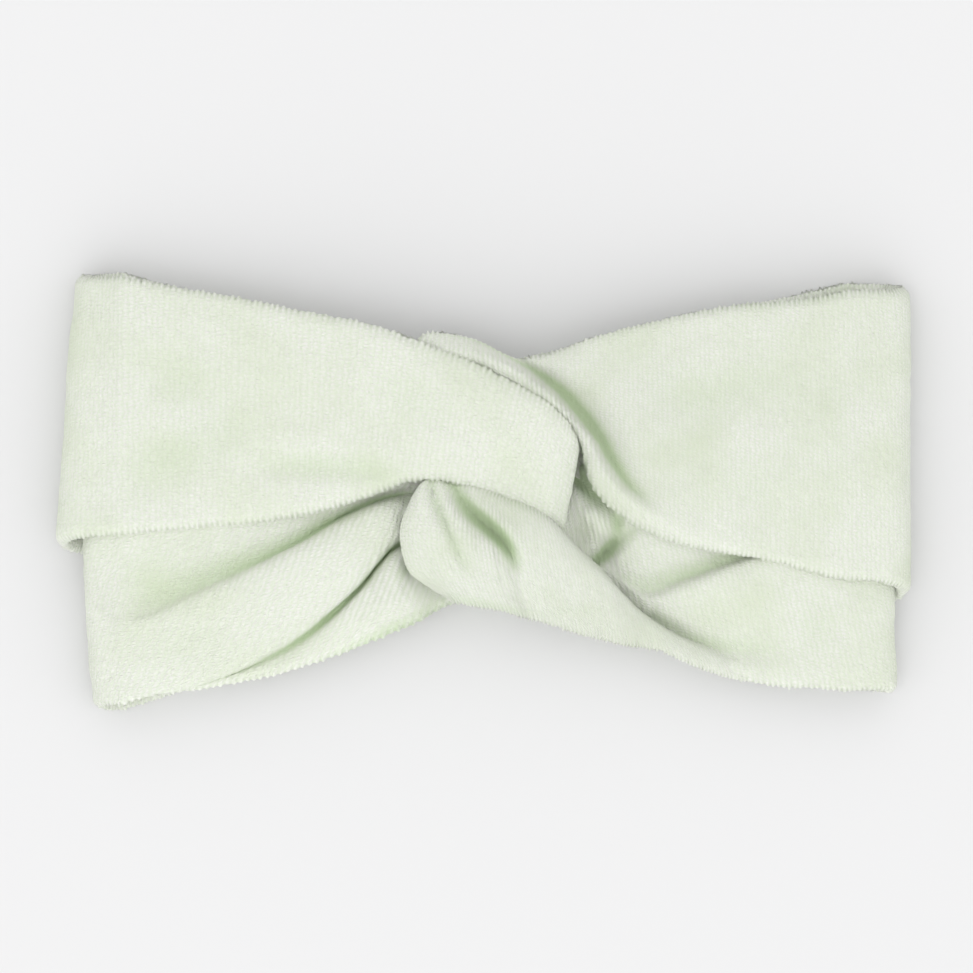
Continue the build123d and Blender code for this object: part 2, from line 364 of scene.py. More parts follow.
def left_upper():
    """Over the knot and round its turn: the tip tucks under, beneath the right loop's strand."""
    tops = [(12, 4, 12.2), (19.2, 9, 13.6), (21.4, 11.2, 17.0), (19.2, 14.6, 19.9), (14.7, 18.8, 21.0),
            (8, 22.8, 21.2), (-3, 28.3, 20.4), (-12, 31.8, 19.2), (-26, 36.8, 17.4), (-42, 40.0, 15.2),
            (-60, 43.6, 13.2), (-80, 47.3, 11.9)]
    bottoms = [(9, -12, 11.4), (15.0, -11, 12.2), (17.6, -10.2, 14.0), (14.6, -9.4, 15.8), (8, -6.4, 16.8),
               (2, -1.7, 18.4), (-7, 1.8, 19.3), (-16, 2.2, 18.3), (-29, -2.4, 16.6), (-43, -5.8, 15.6),
               (-61, -7.6, 14.9), (-80, -9.3, 14.5)]
    crowns = [0.6, 0.8, 0.4, 1.2, 1.9, 2.1, 1.9, 1.6, 1.3, 1.0, 1.0, 1.1]
    thickness = [3.2, 3.6, 4.2, 5.0, 5.2, 5.2, 5.0, 4.8, 4.4, 4.0, 3.6, 3.5]
    soft_creases = [
        ([(-50, 5.9), (-43, 6.0), (-36, 5.5), (-26, 4.6), (-15, 4.2)], (0.3, 0.9, 1.2, 0.9, 0.2), 3.4, 0.5),
        ([(-83, -4), (-72, 5), (-58, 12), (-46, 17)], (0.2, 0.8, 0.7, 0.1), 7.0, 0.2),
        ([(-80, 22), (-66, 24), (-50, 20)], (0.1, 0.7, 0.1), 8.0, 0.2),
        ([(-30, 26), (-16, 20), (-4, 12)], (0.1, 0.7, 0.1), 6.0, 0.2),
    ]
    return arm(-1, crowned(tops, bottoms, crowns), thickness, (90.2, 94.8), (48.2, -14.6),
               on_table, 1.27, strokes=soft_creases)


def left_lower():
    """Gathered at the knot into three pleats that fan out to the side fold."""
    rails = matched(
        [(14.4, 1, 12.4), (14.4, -1, 12.6), (14.4, -2.5, 12.4), (14.3, -3.6, 12.6), (14.2, -5, 12.6),
         (14.1, -7, 12.4), (14, -8.5, 12.2), (13.9, -9.7, 12.2), (13.6, -12, 12.0), (13.2, -14.5, 11.6)],
        [(8.4, -1, 10.9), (8.2, -3.2, 11.2), (8, -5, 10.8), (7.8, -6.4, 11.2), (7.6, -8.8, 11.2),
         (7.4, -11.2, 10.9), (7.2, -13, 10.6), (7, -14.4, 10.8), (6.6, -17.4, 10.8), (6.2, -20.8, 10.4)],
        [(2, -3, 10.5), (1.5, -6, 10.6), (1, -9, 10), (1, -11, 10.4), (1, -13.5, 10.6), (0.5, -16, 10.4),
         (0.5, -18, 10), (0.3, -19, 10.4), (0.2, -21.5, 10.6), (0, -24.0, 10)],
        [(-12, 5, 10.5), (-13, 1.5, 11.4), (-13.6, -0.6, 9.6), (-13.8, -1.8, 11.6), (-14.4, -5, 12.4),
         (-15, -9, 11.6), (-15.2, -11, 9.5), (-14.6, -12.4, 11.4), (-12.4, -19, 12.2), (-8, -25.4, 10.4)],
        [(-20, 6, 10.6), (-20, 1.0, 12.0), (-20.2, -1.0, 9.4), (-20.4, -2.4, 13.4), (-20.4, -6.4, 14.8),
         (-20, -11.2, 13.4), (-19.8, -12.8, 9.4), (-19.4, -14.0, 13.0), (-18.2, -22, 13.8),
         (-16, -29.4, 11.0)],
        [(-30, 6, 10.7), (-29, 0.0, 12.6), (-29.4, -4.7, 9.4), (-29.8, -6.4, 14.8), (-28.8, -13.0, 16.0),
         (-27.8, -20.3, 14.0), (-28.0, -22.2, 9.4), (-27.6, -23.2, 12.8), (-26.8, -28.6, 13.0),
         (-26.4, -33.7, 10.8)],
        [(-44, 8, 10.8), (-43, -2, 12.8), (-43.4, -12.6, 9.8), (-43.8, -14.4, 14.2), (-42, -22, 15.0),
         (-40.4, -30.8, 13.0), (-41.2, -33.4, 9.4), (-41.0, -34.6, 10.6), (-41.0, -36.9, 10.9),
         (-41.4, -39.3, 10.3)],
        [(-62, 9, 11), (-61, -5, 12.8), (-61, -20.4, 10.3), (-61.2, -22.3, 13.2), (-60, -31, 13.6),
         (-58, -40.2, 11.9), (-58.6, -41.6, 10.2), (-58.8, -42.0, 10.4), (-59.0, -42.4, 10.5),
         (-59.3, -42.9, 10.4)],
        [(-74, 10, 11), (-73.5, -7, 12.4), (-73.5, -26.0, 10.7), (-73.6, -28, 12.3), (-73.5, -36, 12.4),
         (-73.5, -43, 11.6), (-73.6, -44.8, 11.2), (-73.7, -44.9, 11), (-73.8, -45.0, 10.8),
         (-73.8, -45.2, 10.6)],
        [(-80, 11, 11), (-80, -8, 11.8), (-80, -27, 11.0), (-80, -29, 11.6), (-80, -36.8, 11.6),
         (-80, -43.8, 11.4), (-80, -45.2, 11.2), (-80, -46.0, 11), (-80, -46.5, 10.9), (-80, -47.0, 10.8)],
    )
    creases = [
        ([(-14.4, -13), (-16.5, -16.5), (-19, -20)], (0.6, 2.0, 0.3), 1.4, -0.3),
        ([(-12.4, -3), (-20, -1.6), (-29.6, -5.4), (-43.4, -13.2),
          (-56, -18.6)], (0.9, 0.9, 0.8, 0.5, 0.1), 1.3, 0.0),
        ([(-19, -12.2), (-25, -19), (-31, -24.6)], (0.6, 0.8, 0.0), 1.4, 0.0),
        ([(-84, -20), (-74, -18), (-62, -13)], (0.1, 0.6, 0.1), 6.0, 0.0),
        ([(-80, -40), (-66, -34), (-52, -27)], (0.1, 0.5, 0.1), 6.0, 0.0),
    ]
    return arm(-1, rails, [3.0, 3.2, 3.2, 3.4, 3.6, 3.6, 3.5, 3.5, 3.5, 3.0], (89.4, 86.4), (11.0, -48.4),
               back_height(-14.6), 1.30, tilt=math.radians(21), strokes=creases, tight=TIGHT)


def right_upper():
    """Its lower edge rolls to a ridge that runs on beside the left loop, up to the top of the knot."""
    bottoms = [(-12, 5, 11.6), (-15, 24, 13.6), (-2, 26.0, 16.2), (8, 20.6, 16.4), (16, 15.0, 16.2),
               (20.6, 11.0, 16.2),
               (22.2, 6.6, 16.6), (23.9, 1.8, 16.8), (27.9, -3.3, 16.6), (36.7, -8.7, 16.2),
               (46, -12.0, 15.8), (61, -14.7, 15.3), (80, -19.3, 14.8)]
    rolls = [(-13, 11, 12.2), (-14.6, 30.4, 15.6), (-3, 30.2, 18.2), (6.6, 26.4, 19.0),
             (14.4, 20.9, 19.2), (19.8, 15.4, 19.1),
             (23.6, 10.0, 18.9), (26.2, 4.6, 18.4), (30.4, -1.0, 17.8), (38, -5.6, 17.1),
             (47, -8.4, 16.5), (61.5, -10.2, 15.8), (80, -12.4, 15.1)]
    valleys = [(-14, 17, 12.2), (-14, 33.2, 14.6), (-3.8, 33.8, 14.9), (7.6, 28.7, 14.6),
               (15.6, 23.4, 14.2), (21.6, 17.4, 13.9),
               (25.6, 12.0, 14.0), (28.8, 6.2, 14.6), (33.0, 0.6, 15.5), (39, -2.6, 16.5),
               (48, -4.6, 16.4), (62, -5, 15.9), (80, -5, 15.3)]
    shoulders = [(-15.5, 21, 12.0), (-13.9, 33.7, 14.2), (-3.7, 34.0, 14.6), (8.1, 29.0, 14.7),
                 (18.4, 26.0, 15.6), (25.6, 21.0, 16.2),
                 (30.0, 15.8, 16.5), (33.6, 10.0, 16.8), (37.4, 4.6, 17.0), (42.5, 1.4, 17.0),
                 (50, 1.0, 16.7), (62, 2, 16.1), (80, 3.8, 15.5)]
    middles = [(-17, 24, 11.8), (-13.8, 34.0, 14.0), (-3.6, 34.1, 14.4), (8.4, 29.2, 14.8),
               (20.6, 29.4, 15.6), (29.6, 27.0, 16.1),
               (35.6, 23.6, 16.3), (40.2, 20.4, 16.4), (44.6, 17.8, 16.3), (50, 16.6, 16.1),
               (56.5, 16, 15.9), (66, 16, 15.4), (80, 16.8, 15.0)]
    tops = [(-18, 27, 11.6), (-13.7, 34.2, 13.8), (-3.5, 34.2, 14.2), (8.8, 29.4, 14.9),
            (23.4, 33.6, 15.0), (33.6, 36.3, 14.7),
            (40.4, 37.9, 14.2), (46.8, 39.4, 13.8), (52, 40.3, 13.5), (57, 41.0, 13.2),
            (63.5, 41.6, 12.8), (72, 42.6, 12.3), (80, 44.2, 11.9)]
    rails = np.array([tops, middles, shoulders, valleys, rolls, bottoms], float)
    creases = [
        ([(38, -4), (32.8, 0.2), (28.6, 5.9), (25.3, 11.6), (21.2, 17.2), (15.7, 23.1), (7.6, 28.8),
          (-2, 33.6)],
         (0.1, 0.8, 1.2, 1.4, 1.5, 1.2, 0.7, 0.3), 1.3, 0.35),
        ([(34, 26), (48, 22), (64, 24), (82, 22)], (0.2, 0.8, 0.5, 0.1), 7.0, 0.0),
        ([(46, 6), (60, 2), (76, 4)], (0.1, 0.6, 0.1), 6.0, 0.0),
        ([(70, 36), (78, 20), (80, 0)], (0.1, 0.5, 0.1), 6.0, 0.0),
    ]
    thickness = [2.6, 2.8, 3.2, 3.6, 3.8, 3.9, 4.0, 4.0, 4.0, 4.0, 3.9, 3.7, 3.5]
    return arm(1, rails, thickness, (94.6, 94.7), (46.0, -26.0), on_table,
               1.06, tilt=math.radians(1.0), strokes=creases)


def right_lower():
    """Fans out from under the strand, below the right upper arm."""
    rails = matched(
        [(10.6, -7, 17.4), (11.2, -9, 17.8), (11.8, -12, 17.8), (12.2, -14, 17.6), (12.8, -16.4, 17.2),
         (13.4, -19, 16.8), (13.9, -21.4, 16.2), (14.4, -24, 15.8)],
        [(16.0, 1.4, 11.2), (17, -4, 12.0), (18.0, -9, 12.6), (18.4, -12.4, 12.8), (19.4, -15, 12.8),
         (20.4, -19, 12.4), (21.4, -23, 12.0), (22.2, -28, 11.4)],
        [(24, 7, 10.8), (24.6, -2.5, 13.0), (25.6, -14.6, 10.2), (26.4, -16.4, 10.6), (27.4, -19, 10.4),
         (28.6, -23, 9.8), (29.6, -27, 10.4), (30.5, -31, 10)],
        [(34, 6, 11), (34, -9, 12.9), (35.4, -21.8, 10.0), (36.2, -23.6, 11.6), (37.6, -26.4, 11.2),
         (38.8, -29.6, 9.8), (40, -32.6, 10.6), (41.0, -35.0, 10.4)],
        [(44, 5, 11), (44, -10.4, 12.6), (44.6, -18.8, 10.0), (45.2, -20.6, 13.0), (46.4, -26.4, 12.6),
         (48.2, -33.0, 9.9), (49.6, -36.4, 11.2), (51, -39.0, 10.6)],
        [(56, 5, 11), (56, -8, 12.2), (56, -14.6, 10.2), (56.2, -16.4, 13.2), (56.8, -25, 13.3),
         (57.6, -35.0, 10.6), (58.8, -39.0, 11.6), (60.5, -42.2, 10.8)],
        [(69, 7, 11.2), (69, -5, 11.6), (69, -11.4, 11.0), (69, -13.4, 12.2), (69.2, -24, 12.6),
         (69.4, -35, 11.7), (69.8, -39.6, 11.6), (70.4, -43.4, 10.9)],
        [(80, 9, 11.1), (80, -3.4, 11.3), (80, -10.4, 11.2), (80, -13, 11.6), (80, -24, 11.7),
         (80, -35, 11.5), (80, -39.9, 11.3), (80, -44, 10.9)],
    )
    creases = [
        ([(24.5, -15.8), (28.5, -12.4), (33.2, -8.6)], (3.0, 2.2, 1.0), 1.5, 0.30),
        ([(26.0, -11.6), (25.4, -8), (23.6, -5.4), (20, -5)], (-0.4, -2.4, -2.4, -0.3), 2.4, 0.0),
        ([(19.5, 6), (22.0, 2.0), (24.4, -0.6), (27.6, -3.2)], (4.0, 4.4, 3.0, 1.2), 2.0, 0.0),
        ([(28.6, -3.6), (29.8, -6.6), (29.6, -9.6), (27.6, -13.0)], (1.0, 2.2, 1.8, 1.8), 1.4, 0.25),
        ([(38, -28), (46, -33.4), (56, -37)], (1.2, 1.0, 0.1), 2.2, 0.0),
        ([(72, -18), (74, -30), (72, -42)], (0.1, 0.7, 0.1), 5.0, 0.0),
    ]
    return arm(1, rails, [1.8, 2.6, 3.2, 3.4, 3.5, 3.5, 3.5, 3.0], (90.6, 91.7), (10.0, -44.4),
               back_height(-26.0), 1.17, tilt=math.radians(12), strokes=creases, tight=TIGHT)


def on_table(x, y):
    """The underside of an upper arm's back."""
    return BACK_GAP + 0 * y


def back_height(upper_edge):
    """The underside of a lower arm's back: on the upper arm's, and beyond that one's edge on the table."""
    drape = 7.0

    def height(x, y):
        edge = upper_edge + (SEAM_LOW - upper_edge) * (CUT - x) / CUT
        return 0.3 + BACK_LIFT * ease((y - edge + drape) / drape)
    return height


def strand():
    """The right loop's turn: out from under the left loop, round, and down to the lower right arm."""
    rails = matched(
        [(-7, -1, 15.2), (-10.4, -5, 14.6), (-11.6, -10, 14.2), (-9.6, -15.6, 13.8), (-4, -20.4, 13.6)],
        [(-13.4, 1.6, 16.0), (-16.8, -4, 15.8), (-18.4, -9.5, 15.4), (-16.4, -17, 15.0),
         (-9.8, -22.8, 14.2)],
        [(-12.8, 2.6, 17.6), (-15.4, -3.4, 18.8), (-16.4, -9.8, 18.9), (-14.4, -16.8, 18.0),
         (-8.4, -23.6, 16.2)],
        [(-8, 2.6, 18.2), (-9.6, -4.4, 20.6), (-10.0, -11.2, 21.0), (-8.4, -18, 19.8), (-4.6, -24.8, 16.4)],
        [(-2.4, 1.6, 18.8), (-3.4, -5.8, 21.4), (-3.2, -12.8, 22.0), (-1.6, -19.4, 20.4),
         (1.4, -25.9, 16.2)],
        [(3.6, -0.9, 20.2), (3.6, -8.2, 22.0), (4.2, -14.8, 22.0), (5.6, -21.2, 20.0), (8, -27.8, 15.8)],
        [(10, -3.4, 20.2), (10.8, -10.4, 21.6), (11.8, -17, 21.0), (13, -23.2, 19.0), (14.6, -29.8, 15.2)],
        [(16.2, -7.9, 19.2), (18.2, -13.6, 20.0), (19.4, -19.8, 19.3), (20.6, -25.8, 17.4),
         (22, -32.0, 14.4)],
        [(24.2, -15.3, 16.2), (26.6, -19, 17.4), (28, -24, 17.2), (29, -28.8, 15.6), (30, -33.9, 13.2)],
        [(32.8, -24.8, 13.4), (35.0, -27, 14.4), (36.2, -29.8, 14.5), (37.2, -32.4, 13.6),
         (38, -34.9, 12.0)],
        [(42.4, -31.4, 11.2), (44.4, -33, 12.3), (45.4, -34.8, 12.7), (46.4, -36.5, 12.2),
         (47.4, -38.7, 11.2)],
        [(55, -36.2, 9.9), (55.6, -37.6, 10.8), (56.2, -38.8, 11.1), (56.8, -40, 10.9),
         (57.6, -41.6, 10.2)],
        [(66, -39.2, 9.4), (66.2, -40, 9.6), (66.4, -40.8, 9.7), (66.7, -41.6, 9.6), (67, -42.4, 9.4)],
    )
    rows = even_rows(rails, 0.93 / ROWS_PER_WALE)
    outer = skin(rails, rows)
    creases = [
        ([(-6.6, 1.5), (-4.8, -1.6), (-2.4, -4.6), (1.2, -7.8), (4.6, -11.0), (6.6, -14.6), (7.6, -18.6)],
         (1.4, 2.6, 3.8, 5.8, 5.2, 2.4, 0.1), 1.7, 0.26),
        ([(-2.5, -12.5), (-3.8, -8.6), (-5.6, -5.0), (-7.4, -1.8),
          (-8.6, 1.4)], (-0.2, -1.2, -1.6, -1.4, -0.4), 1.6, 0.0),
        ([(-2, -19), (-5.6, -13), (-8.4, -6.6), (-10.6, -1),
          (-11.4, 1.5)], (0.2, 1.1, 1.3, 1.2, 0.8), 1.3, 0.25),
        ([(12, -26), (24, -27), (33, -28.5)], (0.1, 0.6, 0.1), 3.0, 0.0),
    ]
    # The darkening marked here is painted shade in the grooves and hollows, on the strand's top only.
    crease_shade = np.zeros(outer.shape[:2])
    on_top = ease((outer[..., 2] - 15.5) / 2.0) * (np.arange(len(outer))[:, None] > 24)
    for path, depth, width, lip in creases:
        change, mark = stroke(outer, path, depth, width, lip)
        outer[..., 2] += change * on_top
        crease_shade = np.maximum(crease_shade, mark * on_top)
    high = relief(outer[..., 2])
    crease_shade = np.maximum(crease_shade, np.clip(-1.6 * high - 0.2, 0, 4) * on_top)
    thickness = np.array([3, 3.4, 3.8, 4.6, 5.2, 5.4, 5.2, 4.8, 4.2, 3.6, 3.0, 2.4, 1.8])
    thick = through(thickness[:, None], rows)[:, 0]
    a = close_tube(outer, crease_shade, thick, len(outer) // 2, 40)
    # Raised ridges get the folded edge's taller ribs, and its painted highlight and shade on their crests
    # and grooves.
    opened = a["hem"][:, :a["skin"]]
    opened[:] = np.maximum(opened, np.clip(0.5 * high - 0.2, 0, 0.5) * on_top)
    a["wales"] = np.arange(len(outer), dtype=float)[:, None] / ROWS_PER_WALE + 0 * a["across"]
    a["cuts"] = (0, len(outer) - 1)
    return a


# ---------------------------------------------------------------- materials

class Nodes:
    """Short names for building a material's nodes."""

    def __init__(self, name):
        self.material = bpy.data.materials.new(name)
        self.material.use_nodes = True
        self.tree = self.material.node_tree
        self.shader = self.tree.nodes["Principled BSDF"]

    def link(self, value, socket):
        if isinstance(value, (int, float, tuple)):
            socket.default_value = value
        else:
            self.tree.links.new(value, socket)

    def math(self, operation, a, b=0.0, clamp=False):
        node = self.tree.nodes.new("ShaderNodeMath")
        node.operation = operation
        node.use_clamp = clamp
        self.link(a, node.inputs[0])
        self.link(b, node.inputs[1])
        return node.outputs[0]

    def attribute(self, name):
        node = self.tree.nodes.new("ShaderNodeAttribute")
        node.attribute_name = name
        return node.outputs["Fac"]

    def vector(self, x, y, z=0.0):
        node = self.tree.nodes.new("ShaderNodeCombineXYZ")
        for value, socket in zip((x, y, z), node.inputs):
            self.link(value, socket)
        return node.outputs[0]

    def scaled(self, x, x_scale, y, y_scale):
        return self.vector(self.math("MULTIPLY", x, x_scale), self.math("MULTIPLY", y, y_scale))

    def noise(self, vector, scale, detail=2.0, roughness=0.5):
        node = self.tree.nodes.new("ShaderNodeTexNoise")
        self.link(vector, node.inputs["Vector"])
        node.inputs["Scale"].default_value = scale
        node.inputs["Detail"].default_value = detail
        node.inputs["Roughness"].default_value = roughness
        return node.outputs["Fac"]

    def mix(self, share, a, b):
        node = self.tree.nodes.new("ShaderNodeMix")
        node.data_type = "RGBA"
        self.link(share, node.inputs[0])
        self.link(a, node.inputs[6])
        self.link(b, node.inputs[7])
        return node.outputs[2]

    def ramp(self, value, low, high):
        node = self.tree.nodes.new("ShaderNodeMapRange")
        self.link(value, node.inputs[0])
        node.inputs[1].default_value = low
        node.inputs[2].default_value = high
        node.inputs[3].default_value = 0.0
        node.inputs[4].default_value = 1.0
        return node.outputs[0]

    def bump(self, height, strength, distance, normal=None):
        node = self.tree.nodes.new("ShaderNodeBump")
        node.inputs["Strength"].default_value = strength
        node.inputs["Distance"].default_value = distance
        self.link(height, node.inputs["Height"])
        if normal is not None:
            self.link(normal, node.inputs["Normal"])
        return node.outputs[0]


MINT = (0.795, 0.872, 0.690, 1)
# Pale colour for the painted highlight on the loop crests, also used by the random nap.
MINT_HIGHLIGHT_AND_NAP = (0.955, 0.960, 0.905, 1)
# Painted shade colour for creases and hollows.
MINT_CREASE_SHADE = (0.60, 0.755, 0.45, 1)
MINT_CLOUD = (0.75, 0.83, 0.62, 1)
FIBRE_WHITE = (0.92, 0.94, 0.88, 1)
# Painted highlight and painted shade colours for the ribs on folded edges and ridges.
HEM_CREST_HIGHLIGHT = (0.90, 0.91, 0.86, 1)
HEM_GROOVE_SHADE = (0.60, 0.66, 0.52, 1)
FLOOR_GREY = (0.672, 0.672, 0.675, 1)
FLOOR_SPOT = (0.66, 0.66, 0.67, 1)


def terry_material():
    """Knitted terry: wales of small loops, with painted highlight on their crests and painted shade,
    greener, in the grooves and creases.
    """
    n = Nodes("terry")
    wales, across = n.attribute("wales"), n.attribute("across")
    flat = n.math("SUBTRACT", 1.0, n.ramp(n.attribute("hem"), 0.0, 0.6))
    wander = n.noise(n.vector(wales, n.math("MULTIPLY", across, 0.55)), 0.75, 3.0)
    drift = n.math("MULTIPLY", n.math("MULTIPLY", n.math("SUBTRACT", wander, 0.5), 1.5), flat)
    one = n.math("ROUND", n.math("ADD", wales, drift))
    hashed = n.math("FRACT", n.math("MULTIPLY", n.math("SINE", n.math("MULTIPLY", one, 12.9898)), 437.5))
    course = n.math("ADD", n.math("MULTIPLY", across, 7.4), n.math("MULTIPLY", hashed, 2 * math.pi))
    zigzag = n.math("MULTIPLY", n.math("MULTIPLY", n.math("COSINE", course), 0.10), flat)
    turn = n.math("MULTIPLY", n.math("ADD", n.math("ADD", wales, drift), zigzag), 2 * math.pi)
    wave = n.math("ADD", n.math("MULTIPLY", n.math("COSINE", turn), 0.5), 0.5)
    loops = n.math("ADD", n.math("MULTIPLY", n.math("SINE", course), 0.5), 0.5)
    nap = n.noise(n.scaled(wales, 2.4, across, 2.7), 1.0, 4.0, 0.7)
    fibre = n.noise(n.scaled(wales, 7.0, across, 6.0), 1.0, 3.0, 0.7)
    cloud = n.noise(n.scaled(wales, 0.05, across, 0.045), 1.0, 3.0, 0.5)
    crease_shade = n.ramp(n.attribute("crease_shade"), 0.2, 2.7)

    # Painted highlight: the loop tops on the wale crests are paler, with random nap tone mixed in.
    bead = n.math("MULTIPLY", wave, n.math("ADD", n.math("MULTIPLY", loops, 0.7), 0.3))
    napped = n.math("MULTIPLY", n.ramp(nap, 0.34, 0.66), 0.75)
    crest_highlight_and_nap = n.math("ADD", n.math("MULTIPLY", bead, 0.75), napped)
    pale = n.math("MULTIPLY", crest_highlight_and_nap, 0.92, clamp=True)
    colour = n.mix(pale, MINT, MINT_HIGHLIGHT_AND_NAP)
    colour = n.mix(n.math("MULTIPLY", n.ramp(cloud, 0.42, 0.72), 0.62), colour, MINT_CLOUD)
    colour = n.mix(n.math("MULTIPLY", n.ramp(fibre, 0.52, 0.8), 0.4), colour, FIBRE_WHITE)
    hem = n.ramp(n.attribute("hem"), 0.05, 0.8)
    # Painted highlight on the rib crests and painted shade in the rib grooves, along folded edges and
    # ridges.
    crest_highlight = n.math("MULTIPLY", n.math("MULTIPLY", hem, wave), 0.45)
    groove = n.math("MULTIPLY", n.math("MULTIPLY", hem, n.math("SUBTRACT", 1.0, wave)), 0.45)
    colour = n.mix(groove, colour, HEM_GROOVE_SHADE)
    # Painted shade: creases and hollows darker and greener.
    colour = n.mix(n.math("MULTIPLY", crease_shade, 0.75), colour, MINT_CREASE_SHADE)
    colour = n.mix(crest_highlight, colour, HEM_CREST_HIGHLIGHT)
    n.link(colour, n.shader.inputs["Base Color"])

    rough = n.math("ADD", n.math("MULTIPLY", nap, 0.12), 0.86)
    n.link(rough, n.shader.inputs["Roughness"])
    fuzz = n.math("ADD", n.math("MULTIPLY", nap, 1.9), n.math("MULTIPLY", fibre, 0.9))
    height = n.math("ADD", bead, fuzz)
    n.link(n.bump(height, 0.85, 0.00040), n.shader.inputs["Normal"])
    n.shader.inputs["Specular IOR Level"].default_value = 0.12
    n.shader.inputs["Sheen Weight"].default_value = 0.12
    n.shader.inputs["Sheen Roughness"].default_value = 0.55
    n.shader.inputs["Sheen Tint"].default_value = (0.95, 1.0, 0.92, 1)
    return n.material


def thread_material(name, colour, light, scale):
    """Twisted thread: fine slanted bands, with a matt nap."""
    n = Nodes(name)
    coordinates = n.tree.nodes.new("ShaderNodeTexCoord")
    split = n.tree.nodes.new("ShaderNodeSeparateXYZ")
    n.link(coordinates.outputs["Object"], split.inputs[0])
    x, y, z = split.outputs
    slant = n.math("MULTIPLY", n.math("ADD", n.math("ADD", x, y), z), scale)
    twist = n.math("ADD", n.math("MULTIPLY", n.math("SINE", slant), 0.5), 0.5)
    nap = n.noise(coordinates.outputs["Object"], 2400.0, 3.0, 0.6)
    mixed = n.mix(n.math("MULTIPLY", n.math("ADD", twist, nap), 0.5), colour, light)
    n.link(mixed, n.shader.inputs["Base Color"])
    n.link(n.math("ADD", n.math("MULTIPLY", nap, 0.2), 0.7), n.shader.inputs["Roughness"])
    n.link(n.bump(n.math("ADD", twist, nap), 0.4, 0.0001), n.shader.inputs["Normal"])
    n.shader.inputs["Sheen Weight"].default_value = 0.15
    return n.material


def floor_material():
    n = Nodes("floor")
    spots = n.noise(n.tree.nodes.new("ShaderNodeTexCoord").outputs["Object"], 3.0)
    colour = n.mix(n.math("MULTIPLY", spots, 0.02), FLOOR_GREY, FLOOR_SPOT)
    n.link(colour, n.shader.inputs["Base Color"])
    n.shader.inputs["Roughness"].default_value = 0.9
    n.shader.inputs["Specular IOR Level"].default_value = 0.1
    return n.material


TERRY = terry_material()
THREAD = thread_material("sewing thread", (0.70, 0.78, 0.60, 1), (0.88, 0.92, 0.82, 1), 9000.0)
ALLOWANCE = thread_material("seam allowance", (0.72, 0.80, 0.62, 1), (0.86, 0.90, 0.78, 1), 5200.0)


# ---------------------------------------------------------------- the pieces

def seam_ridge():
    """The gathered ends of all four arms under one band of terry. It reaches further over the right
    arms' outer side, which slide in it as the band opens."""
    corners = [(-4.9, 0.9), (-4.2, 0.15), (0, 0.0), (6.6, 0.1), (7.7, 0.8), (7.2, 1.8), (5.6, 3.4),
               (5.0, 5.2), (4.2, 6.2), (0, 6.3), (-4.0, 6.2), (-4.8, 5.2), (-5.0, 3.0)]
    outline = through(np.array(corners + corners[:1]), np.linspace(0, len(corners), 97)[:-1])
    outline[:, 1] = np.clip(outline[:, 1], 0.02, 6.3)
    middle = np.array([0.6, 3.2])
    rows = int(round((SEAM_HIGH - SEAM_LOW) / 0.25))
    y = np.linspace(SEAM_HIGH + 0.1, SEAM_LOW - 0.1, rows + 1)[:, None]
    end = np.minimum(np.abs(y - y[0]), np.abs(y - y[-1]))
    size = 0.45 + 0.55 * rounded(end, 2.2)
    run = np.linspace(0, 23, 96, endpoint=False)[None, :]
    gather = 0.22 * noise(y * 0.9 + 0 * run, run * 0.5, 90) + 0.12 * np.cos(2 * np.pi * y / WALE)
    offset = (outline - middle)[None]
    spread = offset * size[..., None] * (1 + (gather / np.linalg.norm(offset, axis=2))[..., None])
    z = np.clip(middle[1] + spread[..., 1], 0.03, 6.35)
    ring = np.stack([middle[0] + spread[..., 0], y + 0 * run, z], axis=2)
    columns = ring.shape[1]
    i = np.arange(rows)[:, None] * columns
    j = np.arange(columns)[None, :]
    k = (j + 1) % columns
    quads = np.stack([i + j, i + columns + j, i + columns + k, i + k], axis=2).reshape(-1, 4)
    # Painted shade darkens the hollows between the gathers. The hem value gives the ribs a little painted
    # highlight and shade.
    marks = {"wales": y / WALE + 0 * run, "across": run + 0 * y,
             "crease_shade": np.clip(-6 * gather, 0, 2), "hem": 0.3 + 0 * gather}
    piece = grid_object("back_seam_ridge_terry", ring.reshape(-1, 3) * MM, quads, marks)
    work = bmesh.new()
    work.from_mesh(piece.data)
    bmesh.ops.holes_fill(work, edges=[e for e in work.edges if e.is_boundary], sides=0)
    bmesh.ops.recalc_face_normals(work, faces=work.faces)
    work.to_mesh(piece.data)
    work.free()
    piece.data.materials.append(TERRY)
    return piece


def seam_stitches():
    """Two rows of stitches on the inside of the back seam, each a short loop of thread in the terry."""
    count, pitch, length, radius, lies_at = 11, 4.4, 3.2, 0.34, 6.42
    along, round_ = 13, 10
    vertices, quads = [], []
    t = np.linspace(-1, 1, along)[:, None]
    angle = np.linspace(0, 2 * np.pi, round_, endpoint=False)[None, :]
    for x in (-1.9, 1.9):
        for n in range(count):
            y = (SEAM_LOW + SEAM_HIGH) / 2 + (n - (count - 1) / 2) * pitch
            r = radius * np.sqrt(np.clip(1 - t ** 4, 0.0004, 1))
            ring = np.stack([x + r * np.cos(angle), y + 0.5 * length * t + 0 * angle,
                             lies_at - 0.25 * t ** 2 + r * np.sin(angle)], axis=2)
            base = sum(len(v) for v in vertices)
            vertices.append(ring.reshape(-1, 3))
            i = base + np.arange(along - 1)[:, None] * round_
            j = np.arange(round_)[None, :]
            k = (j + 1) % round_
            quads.append(np.stack([i + j, i + round_ + j, i + round_ + k, i + k], axis=2).reshape(-1, 4))
    piece = grid_object("back_seam_stitch_rows", np.concatenate(vertices) * MM, np.concatenate(quads), {})
    piece.data.materials.append(THREAD)
    return piece


ARMS = {
    "left_upper": (left_upper, -1, 11),
    "left_lower": (left_lower, -1, 23),
    "right_upper": (right_upper, 1, 37),
    "right_lower": (right_lower, 1, 51),
}


